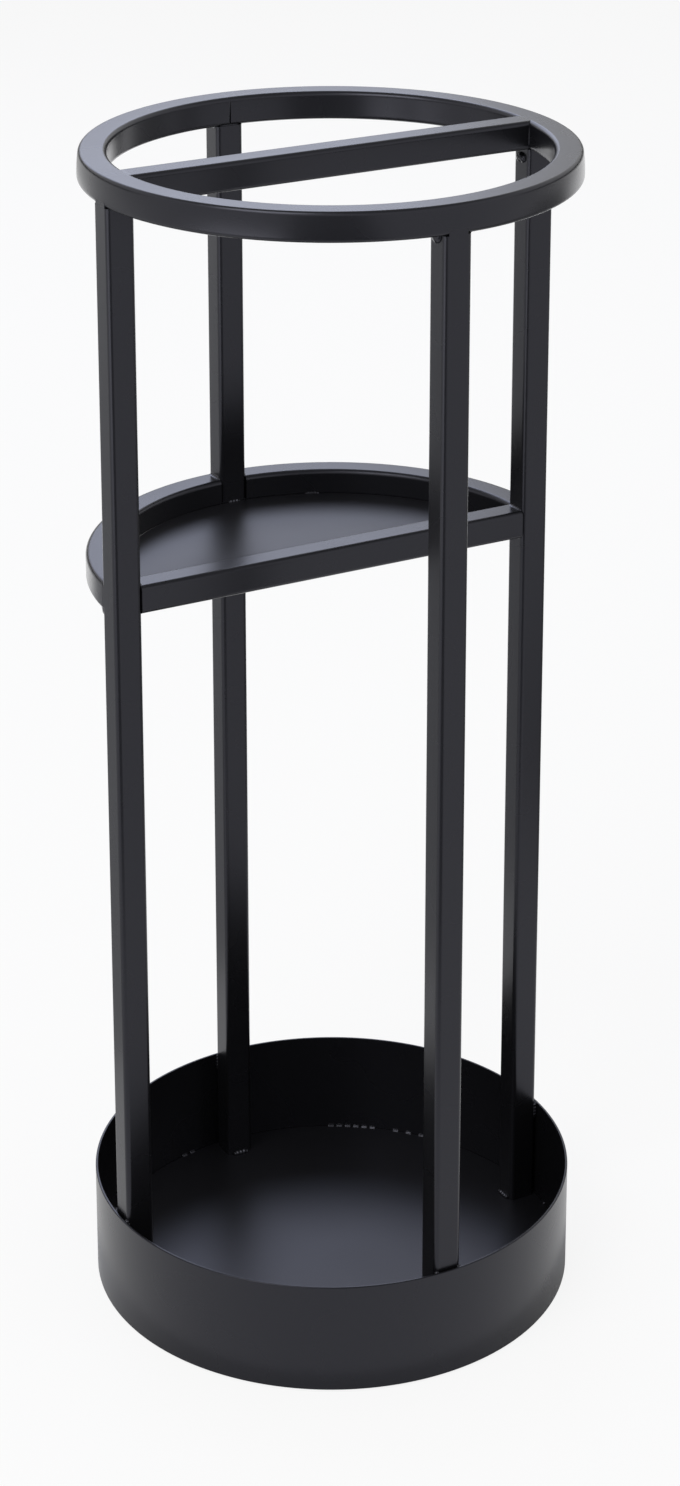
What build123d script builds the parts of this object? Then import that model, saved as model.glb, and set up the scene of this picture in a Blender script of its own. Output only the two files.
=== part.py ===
from build123d import *
from math import pi, sqrt
import os

# Umbrella stand: a round drip pan, four square-tube posts, a ring with a crossbar on
# top and a half-moon shelf between them, welded from steel tube and sheet.
# Millimetres, +Z up, origin on the ground below the middle of the pan.
# The crossbar and the shelf's front bar run along X, and the shelf is on the +Y side.

# Overall sizes
HEIGHT = 500.0  # ground to the top of the ring
PAN_DIAMETER = 204.0  # outside of the pan's wall
PAN_WALL_HEIGHT = 48.0
SHELF_DROP = 180.0  # top of the ring down to the underside of the shelf

# Square tube, the same section for posts, ring, crossbar and shelf rim
TUBE = 12.0
TUBE_WALL = 1.0
TUBE_CORNER = 2.0  # outside corner radius
TUBE_BORE_CORNER = 1.0  # inside corner radius

# Sheet metal
PAN_SHEET = 1.0
PAN_EDGE_ROUND = 0.3  # on the wall's two free edges
FLOOR_SHEET = 1.2
FLOOR_FIT = 0.1  # floor disc to the pan's wall, all round
FLOOR_RECESS = 0.8  # underside of the floor above the wall's lower edge
SHELF_SHEET = 1.5
SHELF_FIT = 0.1  # shelf plate to the tubes around it

# Fits between the welded pieces
POST_CLEARANCE = 1.0  # post's outward face to the inside of the pan's wall
RING_SEAM = 0.8  # width of the ring's butt seam
SEAM_SINK = 0.3  # seam weld below the ring's inner face

# Weld beads
BEAD_LEG = 1.6  # legs of a fillet bead
BEAD_CROWN = 0.35  # how far a bead's face stands out from the straight line
BEAD_LENGTH = 6.0  # along the joint
CROWN_BEAD_HEIGHT = 3.0  # bead across a post's top, on its inward face
CROWN_BEAD_BULGE = 0.9
CORNER_BEAD_LEG = 1.4  # upright beads in the crossbar's corners
WALL_BEAD_BITE = 0.6  # upright beads between a post and the pan's wall, past the gap
WALL_BEAD_INSET = 1.0  # their middle, in from the post's side face
WALL_BEAD_HEIGHT = 8.0
WALL_BEAD_DROP = 0.6  # their top below the pan's edge
FLOOR_STITCHES = ((36.0, 45.5), (49.0, 62.5), (100.5, 103.5))  # degrees, once in each quarter
PLATE_STITCH = (65.0, 69.0)  # degrees, on the shelf's seam
PLATE_BEAD_OFFSET = 45.0  # beads behind the front bar, from its middle

# Foot pads
PAD_DIAMETER = 14.0
PAD_THICKNESS = 1.6
PAD_EDGE = 0.3
PAD_INSET = 14.0  # a pad's edge to the inside of the pan's wall

# Levels and radii worked out from the sizes above
FLOOR_BOTTOM = PAD_THICKNESS
FLOOR_TOP = FLOOR_BOTTOM + FLOOR_SHEET
WALL_BOTTOM = FLOOR_BOTTOM - FLOOR_RECESS
WALL_TOP = WALL_BOTTOM + PAN_WALL_HEIGHT
RING_BOTTOM = HEIGHT - TUBE
SHELF_BOTTOM = HEIGHT - SHELF_DROP
SHELF_TOP = SHELF_BOTTOM + TUBE
PAN_INNER = PAN_DIAMETER / 2 - PAN_SHEET
RING_OUTER = PAN_INNER - POST_CLEARANCE
RING_INNER = RING_OUTER - TUBE
TUBE_CIRCLE = RING_OUTER - TUBE / 2
FLAT_WIDTH = TUBE - 2 * TUBE_CORNER  # flat stretch of a tube's face
PAD_CIRCLE = PAN_INNER - PAD_INSET - PAD_DIAMETER / 2

UP = Vector(0, 0, 1)
POST_ANGLES = {"left": 180, "right": 0, "front": -90, "back": 90}
CROSSBAR_POSTS = ("left", "right")  # the crossbar's ends are above these two


def radial(angle):
    return Vector(1, 0, 0).rotate(Axis.Z, angle)


def tangent(angle):
    return Vector(0, 1, 0).rotate(Axis.Z, angle)


# Upright plane through the stand's axis: its x runs outwards and its y runs up
def axis_plane(angle):
    return Plane((0, 0, 0), x_dir=radial(angle), z_dir=radial(angle).cross(UP))


# Plane square to a joint's corner line: its x and y run along the two faces that meet
def corner_plane(corner, along_first, along_second):
    return Plane(corner, x_dir=along_first, z_dir=along_first.cross(along_second))


# Hollow square section, drawn in the sketch that is open
def tube_section():
    bore = TUBE - 2 * TUBE_WALL
    RectangleRounded(TUBE, TUBE, TUBE_CORNER)
    RectangleRounded(bore, bore, TUBE_BORE_CORNER, mode=Mode.SUBTRACT)


# Outline of a fillet bead in a corner, with its legs towards into_x and into_z
def bead_outline(corner_x=0.0, corner_z=0.0, into_x=1, into_z=1):
    middle = BEAD_LEG / 2 + BEAD_CROWN / sqrt(2)
    toe = (corner_x + into_x * BEAD_LEG, corner_z)
    crown = (corner_x + into_x * middle, corner_z + into_z * middle)
    head = (corner_x, corner_z + into_z * BEAD_LEG)
    Line((corner_x, corner_z), toe)
    ThreePointArc(toe, crown, head)
    Line(head, (corner_x, corner_z))


# Outline of a crowned bead that lies across a seam in a flat face
def crown_outline():
    head = (0, CROWN_BEAD_HEIGHT / 2)
    foot = (0, -CROWN_BEAD_HEIGHT / 2)
    ThreePointArc(foot, (CROWN_BEAD_BULGE, 0), head)
    Line(head, foot)


# Outline of what fills the groove beside a rounded tube edge, between the two flat faces
def groove_outline(edge_x, edge_z, into_x, into_z):
    round_x = edge_x + into_x * TUBE_CORNER
    round_z = edge_z + into_z * TUBE_CORNER
    nearest = TUBE_CORNER / sqrt(2)
    Line((edge_x, edge_z), (round_x, edge_z))
    ThreePointArc(
        (round_x, edge_z),
        (round_x - into_x * nearest, round_z - into_z * nearest),
        (edge_x, round_z),
    )
    Line((edge_x, round_z), (edge_x, edge_z))


def finish(piece, name):
    piece.part.label = name
    export_step(piece.part, f"parts/{name}.step")


os.makedirs("parts", exist_ok=True)

# Drip pan
with BuildPart() as base_wall:
    with BuildSketch(Plane.XY.offset(WALL_BOTTOM)):
        Circle(PAN_DIAMETER / 2)
        Circle(PAN_INNER, mode=Mode.SUBTRACT)
    extrude(amount=PAN_WALL_HEIGHT)
    fillet(base_wall.edges(), radius=min(PAN_EDGE_ROUND, PAN_SHEET / 3))
finish(base_wall, "base_wall")

with BuildPart() as base_floor:
    with BuildSketch(Plane.XY.offset(FLOOR_BOTTOM)):
        Circle(PAN_INNER - FLOOR_FIT)
    extrude(amount=FLOOR_SHEET)
finish(base_floor, "base_floor")

with BuildPart() as foot_pads:
    with BuildSketch():
        with PolarLocations(PAD_CIRCLE, 4, start_angle=45):
            Circle(PAD_DIAMETER / 2)
    extrude(amount=PAD_THICKNESS)
    fillet(foot_pads.edges().group_by(Axis.Z)[0], radius=PAD_EDGE)
finish(foot_pads, "foot_pads")

# Posts, from the pan's floor to the underside of the ring
for side, angle in POST_ANGLES.items():
    foot = radial(angle) * TUBE_CIRCLE + UP * FLOOR_TOP
    with BuildPart() as post:
        with BuildSketch(Plane(foot, x_dir=radial(angle))):
            tube_section()
        extrude(amount=RING_BOTTOM - FLOOR_TOP)
    finish(post, f"post_{side}")

# Top ring: a bent tube whose two ends meet at a seam above the back post
seam_turn = 360 * RING_SEAM / (2 * pi * TUBE_CIRCLE)
seam_end = POST_ANGLES["back"] + seam_turn / 2
with BuildPart() as top_ring:
    with BuildSketch(axis_plane(seam_end)):
        with Locations((TUBE_CIRCLE, HEIGHT - TUBE / 2)):
            tube_section()
    revolve(axis=Axis.Z, revolution_arc=360 - seam_turn)
finish(top_ring, "top_ring")

with BuildPart() as ring_seam_weld:
    with BuildSketch(axis_plane(seam_end - seam_turn)):
        with Locations((TUBE_CIRCLE, HEIGHT - TUBE / 2)):
            tube_section()
        with Locations((RING_INNER, HEIGHT - TUBE / 2)):
            Rectangle(2 * SEAM_SINK, TUBE, mode=Mode.SUBTRACT)
    revolve(axis=Axis.Z, revolution_arc=seam_turn)
finish(ring_seam_weld, "ring_seam_weld")

# Crossbar, coped at both ends to the ring's inner face
with BuildPart() as top_crossbar:
    with BuildSketch(Plane.YZ.offset(-RING_INNER)):
        with Locations((0, HEIGHT - TUBE / 2)):
            tube_section()
    extrude(amount=2 * RING_INNER)
    with BuildSketch(Plane.XY.offset(RING_BOTTOM)):
        Circle(RING_INNER)
    extrude(amount=TUBE, mode=Mode.INTERSECT)
finish(top_crossbar, "top_crossbar")

# Shelf rim: two quarter arcs of tube, cut square against the posts' side faces
for side, start, outer_keep in (("left", 90, Keep.BOTTOM), ("right", 0, Keep.TOP)):
    side_sign = -1 if side == "left" else 1
    with BuildPart() as shelf_rim:
        with BuildSketch(axis_plane(start)):
            with Locations((TUBE_CIRCLE, SHELF_TOP - TUBE / 2)):
                tube_section()
        revolve(axis=Axis.Z, revolution_arc=90)
        split(bisect_by=Plane.YZ.offset(side_sign * TUBE / 2), keep=outer_keep)
        split(bisect_by=Plane.XZ.offset(-TUBE / 2), keep=Keep.BOTTOM)
    finish(shelf_rim, f"shelf_rim_{side}")

with BuildPart() as shelf_front_bar:
    with BuildSketch(Plane.YZ.offset(-RING_INNER)):
        with Locations((0, SHELF_TOP - TUBE / 2)):
            tube_section()
    extrude(amount=2 * RING_INNER)
finish(shelf_front_bar, "shelf_front_bar")

# Half-moon plate, level with the underside of the rim and cut flat at the back post
plate_back = RING_INNER - SHELF_FIT
plate_front = TUBE / 2 + SHELF_FIT
with BuildPart() as shelf_plate:
    with BuildSketch(Plane.XY.offset(SHELF_BOTTOM)):
        Circle(RING_INNER - SHELF_FIT)
        with Locations((0, (plate_front + plate_back) / 2)):
            Rectangle(2 * RING_INNER, plate_back - plate_front, mode=Mode.INTERSECT)
    extrude(amount=SHELF_SHEET)
finish(shelf_plate, "shelf_plate")

# Crossbar welds: flush fills on top, and an upright bead in each corner
fill_turn = 360 * FLAT_WIDTH / (2 * pi * RING_INNER)
corner_x = sqrt(RING_INNER**2 - (TUBE / 2) ** 2)
with BuildPart() as crossbar_welds:
    for angle in (POST_ANGLES[name] for name in CROSSBAR_POSTS):
        with BuildSketch(axis_plane(angle - fill_turn / 2)):
            with BuildLine():
                groove_outline(RING_INNER, HEIGHT, 1, -1)
            make_face()
        revolve(axis=Axis.Z, revolution_arc=fill_turn)
    with BuildSketch(Plane.XY.offset(RING_BOTTOM + TUBE_CORNER)):
        with BuildLine():
            Polyline(
                (corner_x - CORNER_BEAD_LEG, TUBE / 2),
                (RING_OUTER, TUBE / 2),
                (RING_OUTER, TUBE / 2 + CORNER_BEAD_LEG),
                (corner_x, TUBE / 2 + CORNER_BEAD_LEG),
                close=True,
            )
        make_face()
        Circle(RING_INNER, mode=Mode.INTERSECT)
        mirror(about=Plane.XZ)
        mirror(about=Plane.YZ)
    extrude(amount=FLAT_WIDTH)
finish(crossbar_welds, "crossbar_welds")

# Post tops: ground flush outside, with a short fillet bead on each side face
flush_turn = 360 * FLAT_WIDTH / (2 * pi * RING_OUTER)
with BuildPart() as post_top_welds:
    for angle in POST_ANGLES.values():
        with BuildSketch(axis_plane(angle - flush_turn / 2)):
            with BuildLine():
                groove_outline(RING_OUTER, RING_BOTTOM, -1, 1)
            make_face()
        revolve(axis=Axis.Z, revolution_arc=flush_turn)
        for side in (-1, 1):
            across = tangent(angle) * side
            side_top = radial(angle) * TUBE_CIRCLE + across * (TUBE / 2) + UP * RING_BOTTOM
            with BuildSketch(corner_plane(side_top, across, -UP)):
                with BuildLine():
                    bead_outline()
                make_face()
            extrude(amount=BEAD_LENGTH / 2, both=True)
    # Inward faces: a fillet under the crossbar, or a crowned bead up onto the ring
    for name, angle in POST_ANGLES.items():
        inner_top = radial(angle) * RING_INNER + UP * RING_BOTTOM
        with BuildSketch(corner_plane(inner_top, -radial(angle), -UP)):
            with BuildLine():
                if name in CROSSBAR_POSTS:
                    bead_outline()
                else:
                    crown_outline()
            make_face()
        extrude(amount=BEAD_LENGTH / 2, both=True)
finish(post_top_welds, "post_top_welds")

# Post feet: a fillet bead along each inward face
with BuildPart() as post_foot_welds:
    for angle in POST_ANGLES.values():
        inner_foot = radial(angle) * RING_INNER + UP * FLOOR_TOP
        with BuildSketch(corner_plane(inner_foot, -radial(angle), UP)):
            with BuildLine():
                bead_outline()
            make_face()
        extrude(amount=FLAT_WIDTH / 2, both=True)
finish(post_foot_welds, "post_foot_welds")

# Upright beads that bridge from each post's outer corners to the pan's wall
with BuildPart() as post_wall_welds:
    for angle in POST_ANGLES.values():
        bead_bottom = WALL_TOP - WALL_BEAD_DROP - WALL_BEAD_HEIGHT
        with BuildSketch(Plane((0, 0, bead_bottom), x_dir=radial(angle))):
            bead_middle = TUBE / 2 - WALL_BEAD_INSET
            with Locations((RING_OUTER, bead_middle), (RING_OUTER, -bead_middle)):
                Circle(POST_CLEARANCE + WALL_BEAD_BITE)
            with Locations((TUBE_CIRCLE, 0)):
                RectangleRounded(TUBE, TUBE, TUBE_CORNER, mode=Mode.SUBTRACT)
            Circle(PAN_INNER, mode=Mode.INTERSECT)
        extrude(amount=WALL_BEAD_HEIGHT)
finish(post_wall_welds, "post_wall_welds")

# Stitches along the seam between the pan's floor and its wall
with BuildPart() as floor_tack_welds:
    for quarter in range(4):
        for start, end in FLOOR_STITCHES:
            with BuildSketch(axis_plane(start + 90 * quarter)):
                with BuildLine():
                    bead_outline(PAN_INNER, FLOOR_TOP, -1, 1)
                make_face()
            revolve(axis=Axis.Z, revolution_arc=end - start)
finish(floor_tack_welds, "floor_tack_welds")

# Shelf rim joints: the outside groove filled flush, a fillet bead above and below
rim_joints = (("left", -1), ("back", 1), ("back", -1), ("right", 1))
with BuildPart() as shelf_rim_welds:
    for post_name, side in rim_joints:
        angle = POST_ANGLES[post_name]
        with BuildSketch(Plane((0, 0, SHELF_BOTTOM + TUBE_CORNER), x_dir=radial(angle))):
            with BuildLine():
                groove_outline(RING_OUTER, side * TUBE / 2, -1, -side)
            make_face()
            Circle(RING_OUTER, mode=Mode.INTERSECT)
        extrude(amount=FLAT_WIDTH)
        across = tangent(angle) * side
        for level, away in ((SHELF_TOP, UP), (SHELF_BOTTOM, -UP)):
            joint = radial(angle) * TUBE_CIRCLE + across * (TUBE / 2) + UP * level
            with BuildSketch(corner_plane(joint, across, away)):
                with BuildLine():
                    bead_outline()
                make_face()
            extrude(amount=BEAD_LENGTH / 2, both=True)
finish(shelf_rim_welds, "shelf_rim_welds")

# Front bar joints: a fillet bead above and below each end
with BuildPart() as shelf_bar_welds:
    for angle in (POST_ANGLES[name] for name in CROSSBAR_POSTS):
        for level, away in ((SHELF_TOP, UP), (SHELF_BOTTOM, -UP)):
            joint = radial(angle) * RING_INNER + UP * level
            with BuildSketch(corner_plane(joint, -radial(angle), away)):
                with BuildLine():
                    bead_outline()
                make_face()
            extrude(amount=BEAD_LENGTH / 2, both=True)
finish(shelf_bar_welds, "shelf_bar_welds")

# Tacks along the plate's seam: one on the rim, one at the back post, two behind the bar
plate_top = SHELF_BOTTOM + SHELF_SHEET
tack_places = (
    (Vector(0, RING_INNER, plate_top), Vector(0, -1, 0)),
    (Vector(-PLATE_BEAD_OFFSET, TUBE / 2, plate_top), Vector(0, 1, 0)),
    (Vector(PLATE_BEAD_OFFSET, TUBE / 2, plate_top), Vector(0, 1, 0)),
)
with BuildPart() as shelf_plate_welds:
    for corner, along_plate in tack_places:
        with BuildSketch(corner_plane(corner, along_plate, UP)):
            with BuildLine():
                bead_outline()
            make_face()
        extrude(amount=BEAD_LENGTH / 2, both=True)
    with BuildSketch(axis_plane(PLATE_STITCH[0])):
        with BuildLine():
            bead_outline(RING_INNER, plate_top, -1, 1)
        make_face()
    revolve(axis=Axis.Z, revolution_arc=PLATE_STITCH[1] - PLATE_STITCH[0])
finish(shelf_plate_welds, "shelf_plate_welds")
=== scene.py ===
# %% [markdown]
# An umbrella stand: a round drip pan, four square-tube posts, a ring with a crossbar on top
# and a half-moon shelf between them, all welded from steel and powder coated in satin black.
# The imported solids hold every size. They could be shown as they are, but their facets break
# up reflections, and a black satin finish is seen by its reflections alone. So each piece is
# modelled again here, on the solids' own sizes, with fine rounds and rippled weld beads.

from math import acos, atan2, copysign, cos, exp, pi, radians, sin, sqrt
from typing import NamedTuple

import bmesh
import bpy
from mathutils import Matrix, Vector


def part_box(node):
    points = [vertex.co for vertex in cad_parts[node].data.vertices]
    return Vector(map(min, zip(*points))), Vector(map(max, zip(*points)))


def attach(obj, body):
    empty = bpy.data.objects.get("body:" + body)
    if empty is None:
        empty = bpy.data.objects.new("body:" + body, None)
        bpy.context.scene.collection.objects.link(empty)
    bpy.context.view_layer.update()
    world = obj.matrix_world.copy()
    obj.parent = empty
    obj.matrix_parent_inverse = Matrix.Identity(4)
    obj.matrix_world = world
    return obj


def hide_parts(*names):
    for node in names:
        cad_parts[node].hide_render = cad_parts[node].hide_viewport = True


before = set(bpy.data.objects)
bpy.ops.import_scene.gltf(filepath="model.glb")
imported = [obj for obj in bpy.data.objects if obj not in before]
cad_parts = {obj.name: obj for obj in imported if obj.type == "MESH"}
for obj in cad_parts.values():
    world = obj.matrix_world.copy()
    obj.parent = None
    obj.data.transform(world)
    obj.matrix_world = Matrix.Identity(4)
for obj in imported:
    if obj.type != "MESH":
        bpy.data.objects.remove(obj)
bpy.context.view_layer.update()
print("nodes in the frame:", len(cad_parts))

# %% [markdown]
# Sizes are read from the solids' boxes, so that a changed solid changes its piece too. The
# posts' flat outward faces give the ring's radius exactly, where the ring's own facets
# would give it a hair too small. Only radii, gaps and weld sizes, which a box can't show,
# are written here in millimetres.

# %% Read the sizes from the solids
MM = 0.001
X, Y, Z = range(3)


def low(node, axis):
    """Where a solid starts along an axis."""
    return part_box(node)[0][axis]


def high(node, axis):
    """Where a solid ends along an axis."""
    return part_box(node)[1][axis]


RING_TOP = high("top_ring", Z)
RING_BOTTOM = low("top_ring", Z)
TUBE = RING_TOP - RING_BOTTOM
RING_OUTER = high("post_right", X)
RING_INNER = RING_OUTER - TUBE
TUBE_CIRCLE = RING_OUTER - TUBE / 2
SHELF_TOP = high("shelf_front_bar", Z)
SHELF_BOTTOM = low("shelf_front_bar", Z)
PLATE_TOP = high("shelf_plate", Z)
PLATE_FRONT = low("shelf_plate", Y)
PLATE_RADIUS = high("shelf_plate", Y)
PAN_OUTER = high("base_wall", X)
WALL_TOP = high("base_wall", Z)
WALL_BOTTOM = low("base_wall", Z)
FLOOR_RADIUS = high("base_floor", X)
FLOOR_TOP = high("base_floor", Z)
FLOOR_BOTTOM = low("base_floor", Z)

TUBE_CORNER = 2.0 * MM
PAN_SHEET = 1.0 * MM
PAN_INNER = PAN_OUTER - PAN_SHEET
FLAT_WIDTH = TUBE - 2 * TUBE_CORNER
POST_ANGLES = {"left": 180, "right": 0, "front": -90, "back": 90}
CROSSBAR_POSTS = ("left", "right")
UP = Vector((0, 0, 1))
print("tube", round(TUBE / MM, 2), "mm, ring radius", round(RING_OUTER / MM, 2), "mm")

# %% [markdown]
# Finishes come next. A colour picked on a screen is an sRGB value, and the shader
# wants a linear one, so one function turns a hex colour into what the sockets take.
# A second one adds a node, sets it and links it, which keeps each finish to a few lines.

# %% Helpers for finishes


def linear(hex_colour):
    """Undoes the sRGB curve."""
    shares = [int(hex_colour[place : place + 2], 16) / 255 for place in (1, 3, 5)]
    straight = [s / 12.92 if s <= 0.04045 else ((s + 0.055) / 1.055) ** 2.4 for s in shares]
    return (*straight, 1.0)


def add_node(tree, kind, settings=None, inputs=None):
    """Adds a node. An input that is a socket is linked, and any other one is set."""
    node = tree.nodes.new(kind)
    for name, value in (settings or {}).items():
        setattr(node, name, value)
    for socket, value in (inputs or {}).items():
        if isinstance(value, bpy.types.NodeSocket):
            tree.links.new(value, node.inputs[socket])
        else:
            node.inputs[socket].default_value = value
    return node


def pattern_scale(size_mm):
    """The scale that gives a pattern features of that size."""
    return 1 / (size_mm * MM)


def new_tree(name):
    """A new material, with nothing in its tree of nodes yet."""
    material = bpy.data.materials.new(name)
    material.use_nodes = True
    material.node_tree.nodes.clear()
    return material, material.node_tree


print("mid grey on a screen, as the shader takes it:", round(linear("#808080")[0], 3))

# %% [markdown]
# Powder coat is polyester dust, sprayed on dry and baked until it flows. It is a jet black
# with almost no light of its own, under a satin skin: faces seen square on stay dark, and
# faces seen at a low angle mirror the white room, blurred and a little cool. The baked skin
# isn't quite level, and its faint orange peel, a few millimetres across, is drawn as a low
# bump. The film also varies a little in gloss from one hand's breadth to the next, and it
# came out duller on the wide sheets than on the tubes.

# %% Satin black powder coat
COAT_DEEP = "#0d0d0f"
COAT_PALE = "#141416"
COAT_IOR = 1.45
COAT_TINT = "#ebecff"
# Real powder grain is a tenth of this. It is drawn coarser, or it would not show
COAT_GRAIN_MM = 0.5
COAT_GRAIN_DETAIL = 1.0
COAT_CLOUD_MM = 45.0
COAT_CLOUD_DETAIL = 2.0
PEEL_DETAIL = 1.5
# Mix has a set of sockets for each kind of data, so its colours are found by number
MIX_FIRST, MIX_SECOND, MIXED = 6, 7, 2


def coat(name, gloss, peel_mm, peel_height):
    """Powder coat with a roughness that drifts between the two values of gloss."""
    material, tree = new_tree(name)
    place = add_node(tree, "ShaderNodeTexCoord").outputs["Object"]
    grain = add_node(
        tree,
        "ShaderNodeTexNoise",
        inputs={
            "Vector": place,
            "Scale": pattern_scale(COAT_GRAIN_MM),
            "Detail": COAT_GRAIN_DETAIL,
        },
    )
    colour = add_node(
        tree,
        "ShaderNodeMix",
        {"data_type": "RGBA"},
        {
            "Factor": grain.outputs["Fac"],
            MIX_FIRST: linear(COAT_DEEP),
            MIX_SECOND: linear(COAT_PALE),
        },
    )
    cloud = add_node(
        tree,
        "ShaderNodeTexNoise",
        inputs={
            "Vector": place,
            "Scale": pattern_scale(COAT_CLOUD_MM),
            "Detail": COAT_CLOUD_DETAIL,
        },
    )
    roughness = add_node(
        tree,
        "ShaderNodeMapRange",
        inputs={"Value": cloud.outputs["Fac"], "To Min": gloss[0], "To Max": gloss[1]},
    )
    peel = add_node(
        tree,
        "ShaderNodeTexNoise",
        inputs={"Vector": place, "Scale": pattern_scale(peel_mm), "Detail": PEEL_DETAIL},
    )
    bump = add_node(
        tree,
        "ShaderNodeBump",
        inputs={"Height": peel.outputs["Fac"], "Distance": peel_height},
    )
    shader = add_node(
        tree,
        "ShaderNodeBsdfPrincipled",
        inputs={
            "Base Color": colour.outputs[MIXED],
            "Roughness": roughness.outputs["Result"],
            "IOR": COAT_IOR,
            "Specular Tint": linear(COAT_TINT),
            "Normal": bump.outputs["Normal"],
        },
    )
    add_node(tree, "ShaderNodeOutputMaterial", inputs={"Surface": shader.outputs["BSDF"]})
    print("made", name)
    return material


# %% Coats for tube and sheet
TUBE_GLOSS = (0.25, 0.30)
SHEET_GLOSS = (0.34, 0.40)
COAT_PEEL_MM = 2.2
COAT_PEEL_HEIGHT = 0.006 * MM

TUBE_COAT = coat(
    "satin black powder coat on tube, baked", TUBE_GLOSS, COAT_PEEL_MM, COAT_PEEL_HEIGHT
)
SHEET_COAT = coat(
    "satin black powder coat on sheet, baked", SHEET_GLOSS, COAT_PEEL_MM, COAT_PEEL_HEIGHT
)

# %% [markdown]
# The same powder goes over the welds. It pools in their valleys and bakes a little glossier
# there, and its orange peel is deeper and closer set, because the steel under it is rough.
# So they take the same coat with other values.

# %% Coated welds
WELD_GLOSS = (0.20, 0.28)
WELD_PEEL_MM = 0.8
WELD_PEEL_HEIGHT = 0.02 * MM

COATED_WELD = coat(
    "powder coat over welds, baked", WELD_GLOSS, WELD_PEEL_MM, WELD_PEEL_HEIGHT
)

# %% [markdown]
# The pads underneath are moulded rubber, matt and nearly black. The mould gives it a fine
# tooth. A plain dark colour would do from afar, but the tooth keeps the edges from shining.

# %% Rubber
RUBBER_BLACK = "#1b1b1c"
RUBBER_ROUGHNESS = 0.8
RUBBER_TOOTH_MM = 0.4
RUBBER_TOOTH_HEIGHT = 0.03 * MM

RUBBER, rubber_tree = new_tree("black rubber, moulded")
tooth = add_node(
    rubber_tree,
    "ShaderNodeTexNoise",
    inputs={
        "Vector": add_node(rubber_tree, "ShaderNodeTexCoord").outputs["Object"],
        "Scale": pattern_scale(RUBBER_TOOTH_MM),
    },
)
rubber_bump = add_node(
    rubber_tree,
    "ShaderNodeBump",
    inputs={"Height": tooth.outputs["Fac"], "Distance": RUBBER_TOOTH_HEIGHT},
)
rubber_skin = add_node(
    rubber_tree,
    "ShaderNodeBsdfPrincipled",
    inputs={
        "Base Color": linear(RUBBER_BLACK),
        "Roughness": RUBBER_ROUGHNESS,
        "Normal": rubber_bump.outputs["Normal"],
    },
)
add_node(
    rubber_tree, "ShaderNodeOutputMaterial", inputs={"Surface": rubber_skin.outputs["BSDF"]}
)
print("made", RUBBER.name)

# %% [markdown]
# Every tube in the stand has one section, a square with round corners. It starts as a flat
# square whose four corner points are bevelled into arcs, and then it is drawn out straight
# for the posts and bars, or spun round the stand's axis for the ring and the shelf's rim.

# %% A tube's section and its moves
CORNER_STEPS = 8


def section(bm, wide, deep, corner, steps=CORNER_STEPS):
    """A flat face in XY round the origin, with round corners."""
    square = bmesh.ops.create_grid(bm, x_segments=1, y_segments=1, size=0.5)
    bmesh.ops.scale(bm, verts=square["verts"], vec=(wide, deep, 1))
    bmesh.ops.bevel(
        bm,
        geom=square["verts"],
        offset=corner,
        offset_type="OFFSET",
        segments=steps,
        profile=0.5,
        affect="VERTICES",
        material=-1,
    )


def draw_out(bm, along):
    """Draws the flat faces out into a body."""
    drawn = bmesh.ops.extrude_face_region(bm, geom=bm.faces[:])
    moved = [part for part in drawn["geom"] if isinstance(part, bmesh.types.BMVert)]
    bmesh.ops.translate(bm, verts=moved, vec=along)


def stand_up(bm, radius, level):
    """Turns a flat section upright, its width outwards, at that radius and level."""
    bmesh.ops.rotate(bm, verts=bm.verts, matrix=Matrix.Rotation(pi / 2, 3, "X"))
    bmesh.ops.translate(bm, verts=bm.verts, vec=(radius, 0, level))


def spin(bm, start, turn, steps, closed=False):
    """Spins what is in bm round the stand's axis, from start through turn, in degrees."""
    bmesh.ops.rotate(bm, verts=bm.verts, matrix=Matrix.Rotation(radians(start), 3, "Z"))
    bmesh.ops.spin(
        bm,
        geom=bm.verts[:] + bm.edges[:] + bm.faces[:],
        axis=UP,
        angle=radians(turn),
        steps=steps,
        use_merge=closed,
    )


def hollow_out(bm):
    """Leaves only the outline of a flat face, to be spun into a closed ring."""
    bmesh.ops.delete(bm, geom=bm.faces[:], context="FACES_ONLY")


def cut(bm, point, away):
    """Cuts off what lies past a plane."""
    everything = bm.verts[:] + bm.edges[:] + bm.faces[:]
    bmesh.ops.bisect_plane(
        bm, geom=everything, plane_co=point, plane_no=away, clear_outer=True
    )


print("a tube's corner is", CORNER_STEPS, "flats on", round(TUBE_CORNER / MM, 2), "mm")

# %% [markdown]
# A finished piece takes the place of its solids and rides on their body. It gets smooth
# shading, with sharp edges where faces meet at a clear angle. The Weighted Normal modifier
# keeps the tubes' flat faces flat up to where their corners start to turn.

# %% Finish a piece
SHARP_ANGLE = radians(40)
MERGE = 0.0005 * MM


def finish_piece(bm, name, material, slot, *nodes):
    """Makes an object of a bmesh, in place of the nodes."""
    bmesh.ops.remove_doubles(bm, verts=bm.verts, dist=MERGE)
    bmesh.ops.dissolve_degenerate(bm, edges=bm.edges, dist=MERGE)
    bmesh.ops.recalc_face_normals(bm, faces=bm.faces)
    open_edges = sum(1 for edge in bm.edges if len(edge.link_faces) != 2)
    mesh = bpy.data.meshes.new(name)
    bm.to_mesh(mesh)
    bm.free()
    mesh.polygons.foreach_set("use_smooth", [True] * len(mesh.polygons))
    mesh.set_sharp_from_angle(angle=SHARP_ANGLE)
    mesh.materials.append(material)
    piece = bpy.data.objects.new(name, mesh)
    bpy.context.scene.collection.objects.link(piece)
    flats = piece.modifiers.new("flat faces stay flat", "WEIGHTED_NORMAL")
    flats.keep_sharp = True
    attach(piece, "root")
    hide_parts(*nodes)
    print(name, "faces", len(mesh.polygons), "open edges", open_edges)


print("edges are sharp from", round(SHARP_ANGLE * 180 / pi), "degrees")

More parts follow.
